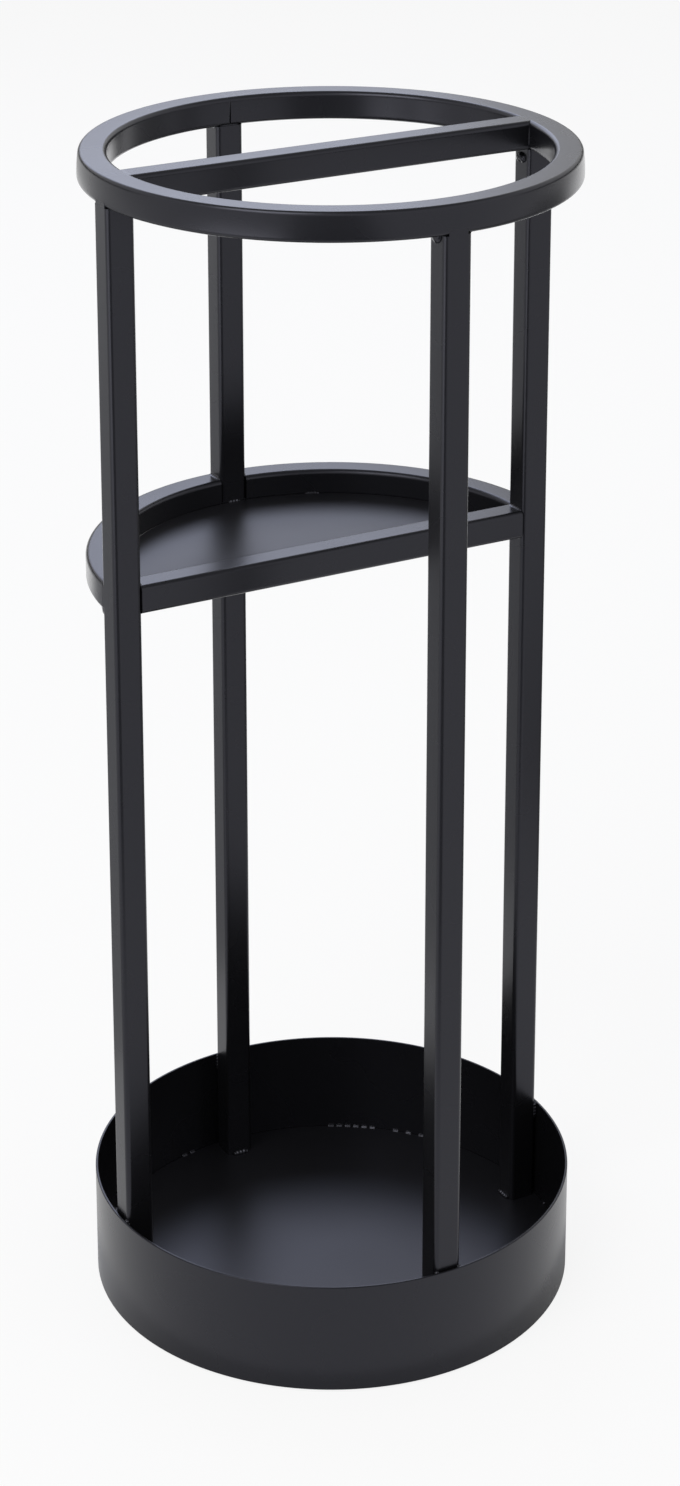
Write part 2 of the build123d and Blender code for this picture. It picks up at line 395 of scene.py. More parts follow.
# %% [markdown]
# The drip pan is a strip of sheet rolled into a hoop, with a disc of sheet let into it as
# its floor. The hoop is a thin upright section spun all the way round, which keeps its rim
# a true circle. The rim's outer edge is rounder than the rest, because the light runs along
# it. The disc is a flat circle drawn out to the sheet's thickness and broken at its edges,
# as a sheared blank is.

# %% The pan's wall
HOOP_STEPS = 256
EDGE_STEPS = 4
PAN_EDGE_BREAK = 0.12 * MM
PAN_RIM_ROUND = 0.45 * MM

hoop = bmesh.new()
section(hoop, PAN_SHEET, WALL_TOP - WALL_BOTTOM, PAN_EDGE_BREAK, EDGE_STEPS)
rim_corner = Vector((PAN_SHEET, WALL_TOP - WALL_BOTTOM, 0)) / 2
bmesh.ops.scale(
    hoop,
    verts=[v for v in hoop.verts if (v.co - rim_corner).length < PAN_EDGE_BREAK + MERGE],
    vec=Vector((1, 1, 1)) * (PAN_RIM_ROUND / PAN_EDGE_BREAK),
    space=Matrix.Translation(-rim_corner),
)
stand_up(hoop, PAN_OUTER - PAN_SHEET / 2, (WALL_TOP + WALL_BOTTOM) / 2)
hollow_out(hoop)
spin(hoop, 0, 360, HOOP_STEPS, closed=True)
finish_piece(hoop, "rolled_hoop_wall", TUBE_COAT, "powder_coat", "base_wall")

# %% The pan's floor
SHEET_BREAK = 0.2 * MM


def break_edges(bm, size):
    """Rounds every square edge of a sheet."""
    square = [edge for edge in bm.edges if edge.calc_face_angle() > SHARP_ANGLE]
    bmesh.ops.bevel(
        bm,
        geom=square,
        offset=size,
        offset_type="OFFSET",
        segments=EDGE_STEPS,
        profile=0.5,
        affect="EDGES",
        material=-1,
    )


disc = bmesh.new()
bmesh.ops.create_circle(disc, cap_ends=True, segments=HOOP_STEPS, radius=FLOOR_RADIUS)
bmesh.ops.translate(disc, verts=disc.verts, vec=UP * FLOOR_BOTTOM)
draw_out(disc, UP * (FLOOR_TOP - FLOOR_BOTTOM))
break_edges(disc, SHEET_BREAK)
finish_piece(disc, "pan_floor_disc", SHEET_COAT, "powder_coat", "base_floor")

# %% [markdown]
# Four stick-on pads keep the pan off the floor. One is a short puck with soft edges, and a
# spin that makes copies instead of a skin sets the other three.

# %% Rubber pads
PAD_DIAMETER = 14.0 * MM
PAD_EDGE = 0.3 * MM
PAD_SIDES = 48
PAD_COUNT = 4
PAD_CIRCLE = sqrt(2) * (high("foot_pads", X) - PAD_DIAMETER / 2)

pads = bmesh.new()
bmesh.ops.create_circle(pads, cap_ends=True, segments=PAD_SIDES, radius=PAD_DIAMETER / 2)
draw_out(pads, UP * high("foot_pads", Z))
break_edges(pads, PAD_EDGE)
bmesh.ops.translate(pads, verts=pads.verts, vec=(PAD_CIRCLE, 0, 0))
bmesh.ops.rotate(pads, verts=pads.verts, matrix=Matrix.Rotation(pi / PAD_COUNT, 3, "Z"))
bmesh.ops.spin(
    pads,
    geom=pads.verts[:] + pads.edges[:] + pads.faces[:],
    axis=UP,
    angle=2 * pi * (PAD_COUNT - 1) / PAD_COUNT,
    steps=PAD_COUNT - 1,
    use_duplicate=True,
)
finish_piece(pads, "rubber_foot_pads", RUBBER, "pad_rubber", "foot_pads")

# %% [markdown]
# The four posts are straight lengths of tube that stand on the pan's floor, just inside its
# wall, and carry the ring. A cube with bevelled edges would look alike, but each is the one
# section drawn straight up, so that all tubes keep the same corners.

# %% Posts
for side, angle in POST_ANGLES.items():
    post = bmesh.new()
    section(post, TUBE, TUBE, TUBE_CORNER)
    bmesh.ops.translate(post, verts=post.verts, vec=(TUBE_CIRCLE, 0, FLOOR_TOP))
    bmesh.ops.rotate(post, verts=post.verts, matrix=Matrix.Rotation(radians(angle), 3, "Z"))
    draw_out(post, UP * (RING_BOTTOM - FLOOR_TOP))
    finish_piece(post, f"tube_post_{side}", TUBE_COAT, "powder_coat", f"post_{side}")

# %% [markdown]
# The ring is one tube bent round until its ends meet above the back post. Bending draws a
# tube's outer wall in a little, so the outer flat is divided and bowed until it leans in
# towards the top, which the eye reads as light that changes from the ring's upper edge to
# its lower one.

# %% Top ring
RING_STEPS = 256
SEAM_WIDTH = 0.8 * MM
LEAN = 0.5 * MM
LEAN_CUTS = 11
seam_turn = 360 * SEAM_WIDTH / (2 * pi * TUBE_CIRCLE)
ring_level = (RING_TOP + RING_BOTTOM) / 2


def lean_in(bm):
    """Bows the outer flat of a section, so that it leans in towards the top."""
    outer = [edge for edge in bm.edges if all(v.co.x > TUBE / 2 - MERGE for v in edge.verts)]
    bmesh.ops.subdivide_edges(bm, edges=outer, cuts=LEAN_CUTS)
    for vert in bm.verts:
        level = max(-FLAT_WIDTH / 2, min(FLAT_WIDTH / 2, vert.co.y))
        rise = 0.5 + level / FLAT_WIDTH
        outwards = max(0.0, 1 - (TUBE / 2 - vert.co.x) / TUBE_CORNER)
        vert.co.x -= LEAN * rise**2 * outwards


ring = bmesh.new()
section(ring, TUBE, TUBE, TUBE_CORNER)
lean_in(ring)
stand_up(ring, TUBE_CIRCLE, ring_level)
spin(ring, POST_ANGLES["back"] + seam_turn / 2, 360 - seam_turn, RING_STEPS)
finish_piece(ring, "bent_ring", TUBE_COAT, "powder_coat", "top_ring")

# %% [markdown]
# The ring's ends are butt welded and ground flush on top and outside. Inside, the weld
# didn't quite reach the lower edge, and the joint shows there as a dark crack that closes
# towards the top. The spin above stops short of a full turn for it, and a narrow slice of
# the same section fills the gap, with its inner face cut back at a slant.

# %% The ring's butt weld
SEAM_SINK_TOP = 0.05 * MM
SEAM_SINK_BOTTOM = 0.9 * MM
SEAM_STEPS = 2

butt_weld = bmesh.new()
section(butt_weld, TUBE, TUBE, TUBE_CORNER)
lean_in(butt_weld)
seam_slant = (SEAM_SINK_BOTTOM - SEAM_SINK_TOP) / TUBE
seam_middle = (SEAM_SINK_BOTTOM + SEAM_SINK_TOP) / 2
cut(butt_weld, (seam_middle - TUBE / 2, 0, 0), (-1, -seam_slant, 0))
stand_up(butt_weld, TUBE_CIRCLE, ring_level)
spin(butt_weld, POST_ANGLES["back"] - seam_turn / 2, seam_turn, SEAM_STEPS)
finish_piece(butt_weld, "ring_butt_weld", COATED_WELD, "coated_weld", "ring_seam_weld")

# %% [markdown]
# The crossbar divides the ring in two. Its ends are coped, cut hollow to the ring's inner
# face, so a straight bar is drawn from side to side and each end point is then slid along
# the bar until it lies on that circle. The shelf's front bar ends square on the posts.

# %% Crossbar and the shelf's front bar


def bar(level):
    """A tube from side to side, under that level, as long as the ring is wide inside."""
    straight = bmesh.new()
    section(straight, TUBE, TUBE, TUBE_CORNER)
    bmesh.ops.rotate(straight, verts=straight.verts, matrix=Matrix.Rotation(pi / 2, 3, "Y"))
    left_end = (-RING_INNER, 0, level - TUBE / 2)
    bmesh.ops.translate(straight, verts=straight.verts, vec=left_end)
    draw_out(straight, (2 * RING_INNER, 0, 0))
    return straight


crossbar = bar(RING_TOP)
for point in crossbar.verts:
    point.co.x = copysign(sqrt(RING_INNER**2 - point.co.y**2), point.co.x)
finish_piece(crossbar, "coped_crossbar", TUBE_COAT, "powder_coat", "top_crossbar")
finish_piece(bar(SHELF_TOP), "shelf_bar", TUBE_COAT, "powder_coat", "shelf_front_bar")

# %% [markdown]
# The shelf's rim is two quarter bends of the same tube between the posts, cut square where
# they meet them. A quarter is spun open at both ends, the two planes of the posts' side
# faces cut it, and the ends are closed. The plate is a half-moon of sheet laid level with
# the rim's underside: a round blank, cut straight along the bar and drawn out upwards.

# %% Shelf rim and plate
QUARTER_STEPS = 64
PLATE_STEPS = 192
for side, start, turned_out in (("left", 90, -1), ("right", 0, 1)):
    rim = bmesh.new()
    section(rim, TUBE, TUBE, TUBE_CORNER)
    stand_up(rim, TUBE_CIRCLE, SHELF_TOP - TUBE / 2)
    hollow_out(rim)
    spin(rim, start, 90, QUARTER_STEPS)
    cut(rim, (turned_out * TUBE / 2, 0, 0), (-turned_out, 0, 0))
    cut(rim, (0, TUBE / 2, 0), (0, -1, 0))
    bmesh.ops.holes_fill(rim, edges=[edge for edge in rim.edges if edge.is_boundary])
    finish_piece(rim, f"rim_bend_{side}", TUBE_COAT, "powder_coat", f"shelf_rim_{side}")

plate = bmesh.new()
bmesh.ops.create_circle(plate, cap_ends=True, segments=PLATE_STEPS, radius=PLATE_RADIUS)
cut(plate, (0, PLATE_FRONT, 0), (0, -1, 0))
bmesh.ops.translate(plate, verts=plate.verts, vec=UP * SHELF_BOTTOM)
draw_out(plate, UP * (PLATE_TOP - SHELF_BOTTOM))
break_edges(plate, SHEET_BREAK)
finish_piece(plate, "half_moon_plate", SHEET_COAT, "powder_coat", "shelf_plate")

# %% [markdown]
# Where a joint faces outwards it was ground until no line shows. A tube that ends against
# another tube's rounded edge leaves a small groove there. The grinder's work is modelled as
# the outer slice of the ending tube, carried on past its end until it has filled the groove.
# It lies a hair deeper than the tube's own face, because two faces in one plane flicker.

# %% Flush fills
FILL_SLICE = 3.0 * MM
FILL_OVERLAP = 0.2 * MM
FILL_EDGE = 0.2 * MM
FILL_SINK = 0.01 * MM


def radial(angle):
    """The direction outwards from the stand's axis."""
    return Vector((cos(radians(angle)), sin(radians(angle)), 0))


def tangent(angle):
    """The direction round the stand's axis."""
    return Vector((-sin(radians(angle)), cos(radians(angle)), 0))


def join(bm, part):
    """Adds a finished part to a piece of several."""
    loose = bpy.data.meshes.new("part")
    part.to_mesh(loose)
    part.free()
    bm.from_mesh(loose)
    bpy.data.meshes.remove(loose)


def flush_fill(bm, tube_end, outward, along, wide=TUBE, corner=TUBE_CORNER):
    """Carries the outward slice of a tube's section, or of its flat alone, on past its end
    into a rounded edge."""
    part = bmesh.new()
    section(part, TUBE, wide, corner)
    cut(part, (TUBE / 2 - FILL_SLICE, 0, 0), (-1, 0, 0))
    draw_out(part, UP * (TUBE_CORNER + FILL_OVERLAP))
    turned = Matrix((outward, along.cross(outward), along)).transposed().to_4x4()
    moved = Matrix.Translation(tube_end - along * FILL_OVERLAP - outward * FILL_SINK)
    bmesh.ops.transform(part, matrix=moved @ turned, verts=part.verts)
    join(bm, part)


print("fill slice", round(FILL_SLICE / MM, 2), "mm")

# %% [markdown]
# The other joints keep their welds. A bead is a row of puddles that froze one after another,
# swollen once for each puddle, with each swelling curved like a crescent because a puddle's
# edges cool before its middle. A slow bead piles up round, and a hot one wets both faces
# and freezes as a hollow fillet. A tack has a crater where the arc went out. One function
# makes them all: a ball is drawn out along the joint and shaped by a formula, and what would
# lie inside the steel is pressed flat, so that no bead comes out on a sheet's far side.

# %% What a bead is


class Bead(NamedTuple):
    """reach is how far it creeps up the first face, and climb times that is how far up the
    second. hollow goes from 0, round, to 1, a fillet, and ends from 2, pointed like an egg,
    to 20, blunt. crater is the depth of its pit, as a share of its height. sink is how deep
    it may lie in the steel, and taper is the share of its length that it has lost at its
    toes."""

    length: float
    reach: float
    climb: float = 1.0
    hollow: float = 0.0
    ripple: float = 0.13
    puddle: float = 1.5 * MM
    ends: int = 4
    crater: float = 0.0
    sink: float = 0.3 * MM
    taper: float = 0.0


print("a bead has", ", ".join(Bead._fields))

# %% Lay a bead
PUDDLE_STEPS = 8
END_STEPS = 8
BEAD_SIDES = 32
CRESCENT = 0.22
CRATER_SIZE = 0.9 * MM
CRATER_AHEAD = 0.5 * MM
CRATER_FACING = radians(45)
CRATER_SPREAD = radians(22)


def weld(bm, bead, place):
    """Lays a bead. place turns lengths along the joint, up the first face and up the second
    into a point."""
    puddles = max(1, round(bead.length / bead.puddle))
    rows = PUDDLE_STEPS * puddles + END_STEPS
    ball = bmesh.ops.create_uvsphere(bm, u_segments=BEAD_SIDES, v_segments=rows, radius=1.0)
    for vert in ball["verts"]:
        share = 1 - 2 * acos(max(-1.0, min(1.0, vert.co.z))) / pi
        run = share * bead.length / 2
        turn = atan2(vert.co.y, vert.co.x)
        slope = max(1.0, cos(turn) + sin(turn))
        dish = 1 - bead.hollow * (1 - slope + sqrt(slope**2 - 1))
        lag = CRESCENT * (1 - cos(turn - pi / 4))
        swelling = 1 + bead.ripple * cos(2 * pi * (puddles * share / 2 - lag))
        ahead = (run - CRATER_AHEAD) / CRATER_SIZE
        aside = (turn - CRATER_FACING) / CRATER_SPREAD
        pit = bead.crater * exp(-(ahead**2) - aside**2)
        shape = sqrt(1 - share**bead.ends) * dish * swelling * (1 - pit)
        first = max(bead.reach * shape * cos(turn), -bead.sink)
        second = max(bead.reach * bead.climb * shape * sin(turn), -bead.sink)
        toe = max(first, second, 0.0) / bead.reach
        vert.co = place(run * (1 - bead.taper * toe), first, second)


def straight_joint(corner, first, second):
    """Places a bead in a straight corner, between the directions along its two faces."""
    along = first.cross(second)
    return lambda run, one, two: corner + along * run + first * one + second * two


def round_joint(radius, level, middle):
    """Places a bead in the corner between a level sheet and the wall round it."""
    return lambda run, one, two: (
        radial(middle + run / radius * 180 / pi) * (radius - one) + UP * (level + two)
    )


print("a bead has", BEAD_SIDES, "sides and", PUDDLE_STEPS, "rows for each puddle")

# %% [markdown]
# Now the joints, from the top down. The crossbar runs into the ring flush on top, with only
# a hair of weld in the dark corners beside it. The flush fill makes the top, and a fillet
# too thin to show as a bead takes the hard line out of each corner.

# %% Crossbar joints
CORNER_FILLET = Bead(length=FLAT_WIDTH, reach=0.3 * MM, hollow=1.0, ripple=0.0)
corner_reach = sqrt(RING_INNER**2 - (TUBE / 2) ** 2)
crossbar_joints = bmesh.new()
for angle in (POST_ANGLES[name] for name in CROSSBAR_POSTS):
    bar_end = radial(angle) * RING_INNER + UP * (RING_TOP - TUBE / 2)
    flush_fill(crossbar_joints, bar_end, UP, radial(angle))
    for side in (-1, 1):
        across = tangent(angle) * side
        corner = radial(angle) * corner_reach + across * (TUBE / 2) + UP * ring_level
        weld(crossbar_joints, CORNER_FILLET, straight_joint(corner, -radial(angle), across))
finish_piece(
    crossbar_joints, "crossbar_joints", COATED_WELD, "coated_weld", "crossbar_welds"
)

# %% [markdown]
# Each post is ground flush with the ring outside, across the flat of its face, and closed
# with thin fillets at its sides. A heavy tack hangs down the left side of the front post.
# Below each end of the crossbar a round one sits on the post's inward face like a button,
# with its crater showing. The front and back posts have only a low bead inside, down in the
# groove under the ring's rounded edge.

# %% Post heads
THIN_FILLET = Bead(length=9 * MM, reach=1.2 * MM, hollow=1.0, ripple=0.05)
SIDE_TACK = Bead(length=6.5 * MM, reach=1.9 * MM, climb=2.0, ripple=0.0, ends=2)
TACKED_SIDE = ("front", -1)
CRATER_TACK = Bead(
    length=6.5 * MM,
    reach=1.8 * MM,
    climb=1.3,
    ripple=0.0,
    puddle=1 * MM,
    ends=2,
    crater=0.7,
    sink=2.5 * MM,
)
CRATER_TACK_DROP = 4.2 * MM
GROOVE_BEAD = Bead(length=9 * MM, reach=0.8 * MM, sink=0.8 * MM)
GROOVE_DEPTH = 1.2 * MM
post_heads = bmesh.new()
for name, angle in POST_ANGLES.items():
    head = radial(angle) * TUBE_CIRCLE + UP * RING_BOTTOM
    flush_fill(post_heads, head, radial(angle), UP, FLAT_WIDTH + FILL_EDGE, FILL_EDGE)
    for side in (-1, 1):
        across = tangent(angle) * side
        place = straight_joint(head + across * (TUBE / 2), across, -UP)
        weld(post_heads, SIDE_TACK if (name, side) == TACKED_SIDE else THIN_FILLET, place)
    inner_head = radial(angle) * RING_INNER + UP * RING_BOTTOM
    if name in CROSSBAR_POSTS:
        middle = inner_head - UP * CRATER_TACK_DROP
        weld(post_heads, CRATER_TACK, straight_joint(middle, -radial(angle), -UP))
    else:
        groove = inner_head + radial(angle) * GROOVE_DEPTH
        weld(post_heads, GROOVE_BEAD, straight_joint(groove, -radial(angle), -UP))
finish_piece(post_heads, "post_head_welds", COATED_WELD, "coated_weld", "post_top_welds")

# %% [markdown]
# In the pan, a bead runs along the inward foot of every post, and two upright tacks at its
# outer corners bridge the narrow gap to the wall. A foot stands in a straight corner, and so
# does a tack if the corner is set upright, so one kind of joint places both.

# %% Post feet
FOOT_BEAD = Bead(length=FLAT_WIDTH, reach=1.6 * MM)
WALL_TACK = Bead(length=8 * MM, reach=1.2 * MM, sink=1.2 * MM)
WALL_TACK_RISE = 0.4 * MM
WALL_TACK_INSET = 1.0 * MM
tack_middle = UP * (WALL_TOP + WALL_TACK_RISE - WALL_TACK.length / 2)

foot_beads = bmesh.new()
wall_tacks = bmesh.new()
for angle in POST_ANGLES.values():
    inner_foot = radial(angle) * RING_INNER + UP * FLOOR_TOP
    weld(foot_beads, FOOT_BEAD, straight_joint(inner_foot, -radial(angle), UP))
    for side in (-1, 1):
        across = tangent(angle) * side
        corner = radial(angle) * RING_OUTER + across * (TUBE / 2 - WALL_TACK_INSET)
        place = straight_joint(corner + tack_middle, radial(angle), across)
        weld(wall_tacks, WALL_TACK, place)
finish_piece(foot_beads, "post_foot_beads", COATED_WELD, "coated_weld", "post_foot_welds")
finish_piece(wall_tacks, "post_wall_tacks", COATED_WELD, "coated_weld", "post_wall_welds")

# %% [markdown]
# Rows of small tacks hold the floor to the wall, and their tops catch the light in the dark
# corner. A spotted texture would be quicker, but only a real shape catches light. Two rows
# come once in each quarter between the posts, and three more tacks stand beside the back and
# right posts. They follow the wall's curve, and their places are in degrees round the pan.

# %% Floor tacks


class TackRow(NamedTuple):
    """Tacks in a row, from the first one's place on."""

    first: float
    spacing: float
    count: int


FLOOR_TACK = Bead(length=3.2 * MM, reach=0.95 * MM, hollow=0.3, ripple=0.0, ends=10)
TACK_ROWS = (
    TackRow(first=37.4, spacing=3.55, count=3),
    TackRow(first=50.8, spacing=2.2, count=6),
)
LONE_TACKS = (-8.0, 101.0, 103.5)
tack_angles = [
    row.first + row.spacing * step + 90 * quarter
    for quarter in range(4)
    for row in TACK_ROWS
    for step in range(row.count)
]
floor_stitches = bmesh.new()
for angle in (*tack_angles, *LONE_TACKS):
    weld(floor_stitches, FLOOR_TACK, round_joint(PAN_INNER, FLOOR_TOP, angle))
finish_piece(
    floor_stitches, "pan_floor_stitches", COATED_WELD, "coated_weld", "floor_tack_welds"
)

# %% [markdown]
# On the shelf, the rim's bends run flush into the posts outside. A thin fillet lies on top of
# each joint, and underneath a wide hollow one leads the rim's lower edge into the post. It
# is sunk deep enough to fill both rounded edges, and it is shorter at its toes, where it
# runs out on the tubes' flats. The front bar has thin fillets above and below its ends.

# %% Joints of the shelf's rim and bar
FULL_WIDTH = TUBE - 0.2 * MM
WIDE_FILLET = Bead(
    length=FULL_WIDTH,
    reach=5.2 * MM,
    hollow=0.9,
    ripple=0.0,
    ends=20,
    sink=TUBE_CORNER,
    taper=0.25,
)
rim_joints = bmesh.new()
for name, side in (("left", -1), ("back", 1), ("back", -1), ("right", 1)):
    angle = POST_ANGLES[name]
    across = tangent(angle) * side
    rim_end = radial(angle) * TUBE_CIRCLE + across * (TUBE / 2)
    flush_fill(rim_joints, rim_end + UP * (SHELF_TOP - TUBE / 2), radial(angle), -across)
    weld(rim_joints, THIN_FILLET, straight_joint(rim_end + UP * SHELF_TOP, across, UP))
    weld(rim_joints, WIDE_FILLET, straight_joint(rim_end + UP * SHELF_BOTTOM, across, -UP))
finish_piece(rim_joints, "rim_joint_welds", COATED_WELD, "coated_weld", "shelf_rim_welds")

bar_joints = bmesh.new()
for angle in (POST_ANGLES[name] for name in CROSSBAR_POSTS):
    for level, away in ((SHELF_TOP, UP), (SHELF_BOTTOM, -UP)):
        corner = radial(angle) * RING_INNER + UP * level
        weld(bar_joints, THIN_FILLET, straight_joint(corner, -radial(angle), away))
finish_piece(bar_joints, "bar_joint_welds", COATED_WELD, "coated_weld", "shelf_bar_welds")

# %% [markdown]
# A few rippled tacks hold the plate: one at the back post, two behind the front bar and a
# short stitch on the rim. The ripple is strong, because these lie open to the eye. The first
# three are laid in straight corners, and the stitch bends with the rim.

# %% Plate tacks
PLATE_TACK = Bead(length=6 * MM, reach=0.9 * MM, ripple=0.3)
PLATE_TACK_OFFSET = 45.0 * MM
STITCH_FROM, STITCH_TO = 65.0, 69.0
FORWARD, BACKWARD = Vector((0, -1, 0)), Vector((0, 1, 0))

plate_tacks = bmesh.new()
back_corner = Vector((0, RING_INNER, PLATE_TOP))
weld(plate_tacks, PLATE_TACK, straight_joint(back_corner, FORWARD, UP))
for offset in (-PLATE_TACK_OFFSET, PLATE_TACK_OFFSET):
    corner = Vector((offset, TUBE / 2, PLATE_TOP))
    weld(plate_tacks, PLATE_TACK, straight_joint(corner, BACKWARD, UP))
stitch_middle = (STITCH_FROM + STITCH_TO) / 2
plate_stitch = PLATE_TACK._replace(length=radians(STITCH_TO - STITCH_FROM) * RING_INNER)
weld(plate_tacks, plate_stitch, round_joint(RING_INNER, PLATE_TOP, stitch_middle))
finish_piece(plate_tacks, "plate_tacks", COATED_WELD, "coated_weld", "shelf_plate_welds")

# %% [markdown]
# The photograph shows the stand on plain white, with no shadow to speak of. The room is
# white to the eye and to reflections up to well above the horizon and dim overhead, as a
# studio with a white sweep is, and that is what draws the light top faces and dark sides of
# the black coat. As a lamp it is only half as bright, and the Light Path node tells a ray
# that is seen from one that lights.

# %% Rays that are seen


def seen_ray(tree):
    """One for a ray from the camera, or one that a glossy or clear surface sent on."""
    path = add_node(tree, "ShaderNodeLightPath")
    mirrored = add_node(
        tree,
        "ShaderNodeMath",
        {"operation": "MAXIMUM"},
        {0: path.outputs["Is Glossy Ray"], 1: path.outputs["Is Transmission Ray"]},
    )
    seen = add_node(
        tree,
        "ShaderNodeMath",
        {"operation": "MAXIMUM"},
        {0: path.outputs["Is Camera Ray"], 1: mirrored.outputs[0]},
    )
    print("seen rays told apart in", tree.name)
    return seen.outputs[0]


# %% White room
ROOM_WHITE = "#ffffff"
ROOM_LIGHT = 0.5
ROOM_OVERHEAD = 0.1
DIM_FROM = sin(radians(36))
DIM_TO = sin(radians(62))

room = bpy.data.worlds.new("white studio room")
room.use_nodes = True
room_tree = room.node_tree
room_tree.nodes.clear()
direction = add_node(room_tree, "ShaderNodeTexCoord").outputs["Generated"]
height = add_node(room_tree, "ShaderNodeSeparateXYZ", inputs={"Vector": direction})
dimming = add_node(
    room_tree,
    "ShaderNodeMapRange",
    {"interpolation_type": "SMOOTHSTEP"},
    {
        "Value": height.outputs["Z"],
        "From Min": DIM_FROM,
        "From Max": DIM_TO,
        "To Min": 1.0,
        "To Max": ROOM_OVERHEAD,
    },
)
to_the_eye = add_node(
    room_tree,
    "ShaderNodeBackground",
    inputs={"Color": linear(ROOM_WHITE), "Strength": dimming.outputs["Result"]},
)
to_the_stand = add_node(
    room_tree,
    "ShaderNodeBackground",
    inputs={"Color": linear(ROOM_WHITE), "Strength": ROOM_LIGHT},
)
either = add_node(
    room_tree,
    "ShaderNodeMixShader",
    inputs={
        "Fac": seen_ray(room_tree),
        1: to_the_stand.outputs["Background"],
        2: to_the_eye.outputs["Background"],
    },
)
add_node(room_tree, "ShaderNodeOutputWorld", inputs={"Surface": either.outputs["Shader"]})
bpy.context.scene.world = room
print("made", room.name)

# %% [markdown]
# The floor is a wide matt white disc. A painted floor alone would look grey beside the white
# room, so most of what the eye sees of it glows, and the rest is paint, which still shows a
# trace of shadow where the stand meets it.

# %% Pale floor
FLOOR_SIZE = 8.0
FLOOR_SIDES = 96
FLOOR_PALE = "#f2f2f2"
FLOOR_GLOW = 0.86
MATT = {"Roughness": 1.0, "Specular IOR Level": 0.0}

floor_skin, floor_tree = new_tree("matt white sweep, painted")
paint = add_node(
    floor_tree, "ShaderNodeBsdfPrincipled", inputs={"Base Color": linear(FLOOR_PALE), **MATT}
)
glow = add_node(floor_tree, "ShaderNodeEmission", inputs={"Color": linear(ROOM_WHITE)})
share = add_node(
    floor_tree,
    "ShaderNodeMath",
    {"operation": "MULTIPLY"},
    {0: seen_ray(floor_tree), 1: FLOOR_GLOW},
)
painted = add_node(
    floor_tree,
    "ShaderNodeMixShader",
    inputs={"Fac": share.outputs[0], 1: paint.outputs["BSDF"], 2: glow.outputs["Emission"]},
)
add_node(floor_tree, "ShaderNodeOutputMaterial", inputs={"Surface": painted.outputs["Shader"]})

sweep = bmesh.new()
bmesh.ops.create_circle(sweep, cap_ends=True, segments=FLOOR_SIDES, radius=FLOOR_SIZE)
floor_mesh = bpy.data.meshes.new("studio_floor")
sweep.to_mesh(floor_mesh)
sweep.free()
floor_mesh.materials.append(floor_skin)
floor = bpy.data.objects.new("studio_floor", floor_mesh)
bpy.context.scene.collection.objects.link(floor)
print("made", floor.name)

# %% [markdown]
# Three softboxes light the stand. The one overhead is wide and weak, so that its shadow is
# soft. The one behind faces the camera at a low angle and is a little cool. Level faces
# mirror it, and it gives the ring, the bars and the plate their pale blue-grey tops. The one
# in front, high on the left, lifts the dark faces. Upright faces mirror the floor, so two
# lit panels also lie on it, as light tables do: one behind to the right and one in front to
# the left. Places and sizes are in metres, and headings in degrees from the X axis.

# %% Lamps
VIEW_HEADING = 61.5
STAND_MIDDLE = UP * RING_TOP / 2
TABLE_RISE = 0.002


def panel(name, place, wide, tall, power, colour):
    """A rectangular lamp that the camera doesn't see."""
    light = bpy.data.lights.new(name, "AREA")
    light.shape = "RECTANGLE"
    light.size = wide
    light.size_y = tall
    light.energy = power
    light.color = linear(colour)[:3]
    lamp = bpy.data.objects.new(name, light)
    lamp.location = place
    lamp.visible_camera = False
    bpy.context.scene.collection.objects.link(lamp)
    print("made", name)
    return lamp


def softbox(name, heading, reach, rise, wide, tall, power, colour=ROOM_WHITE):
    """A panel out along a heading, at a height, that faces the middle of the stand."""
    place = radial(heading) * reach + UP * rise
    lamp = panel(name, place, wide, tall, power, colour)
    lamp.rotation_euler = (STAND_MIDDLE - place).to_track_quat("-Z", "Y").to_euler()


def light_table(name, place, wide, deep, heading, power):
    """A panel that lies on the floor and faces up, its depth along a heading."""
    lamp = panel(name, place + UP * TABLE_RISE, deep, wide, power, ROOM_WHITE)
    lamp.rotation_euler = (pi, 0, radians(heading))


print("the camera looks along", VIEW_HEADING, "degrees")

# %% Softboxes
BACK_BOX_HEADING = VIEW_HEADING + 15
FRONT_BOX_HEADING = 205
COOL_WHITE = "#d5dfff"

softbox("overhead softbox", heading=0, reach=0, rise=2.2, wide=2.4, tall=2.4, power=6.0)
softbox(
    "back softbox",
    heading=BACK_BOX_HEADING,
    reach=1.9,
    rise=1.45,
    wide=1.4,
    tall=1.0,
    power=8.6,
    colour=COOL_WHITE,
)
softbox(
    "front softbox",
    heading=FRONT_BOX_HEADING,
    reach=1.5,
    rise=2.0,
    wide=1.2,
    tall=1.2,
    power=20.0,
)

# %% Light tables
BACK_TABLE_PLACE = Vector((1.0, 1.2, 0))
FRONT_TABLE_HEADING = 220
FRONT_TABLE_REACH = 1.6

light_table(
    "back light table", place=BACK_TABLE_PLACE, wide=1.4, deep=2.8, heading=0, power=8.2
)
light_table(
    "front light table",
    place=radial(FRONT_TABLE_HEADING) * FRONT_TABLE_REACH,
    wide=2.2,
    deep=1.0,
    heading=FRONT_TABLE_HEADING,
    power=13.8,
)

# %% [markdown]
# A black tube also needs something dark to mirror, or its rounded edges melt into its faces.
# One grey card slopes from the floor up to the lens and draws a thin dark line down each
# edge that points at the camera. Another lies on the floor behind, to the left, and keeps the
# posts' left faces nearly as dark as their front ones, and a third lies on the right for the
# pan's side. Only reflections see the cards.

# %% Grey cards


